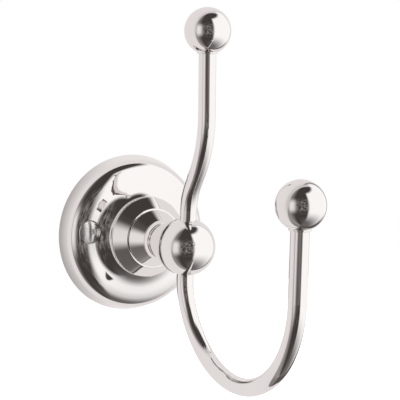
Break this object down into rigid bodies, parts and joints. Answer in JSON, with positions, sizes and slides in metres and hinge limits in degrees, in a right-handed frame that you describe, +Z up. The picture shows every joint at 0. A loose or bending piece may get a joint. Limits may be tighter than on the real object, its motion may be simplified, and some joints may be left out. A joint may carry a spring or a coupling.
{
  "type": "double robe hook",
  "caption": "Wall-mounted robe hook: a round stepped rose carries a ball-headed post, and one bent rod through the ball makes an upright upper hook and a deep lower hook with ball ends.",
  "frame": {"origin": "centre of the rose on the wall plane, midway between the wall screws", "axes": "+Y into the wall, along the screws; +Z up; +X to the right seen from the room"},
  "size_m": [0.06, 0.1382, 0.1293],
  "materials": {
    "polished_plate": "bright polished chrome plate",
    "plated_screw": "chrome-plated screw, bright head",
    "zinc_steel": "zinc-plated steel"
  },
  "bodies": {
    "root": {"wall_rose": "polished_plate", "post": "polished_plate", "hook_rod": "polished_plate", "top_finial": "polished_plate", "front_finial": "polished_plate", "wall_screws": "plated_screw", "post_screw": "zinc_steel"}
  },
  "joints": []
}
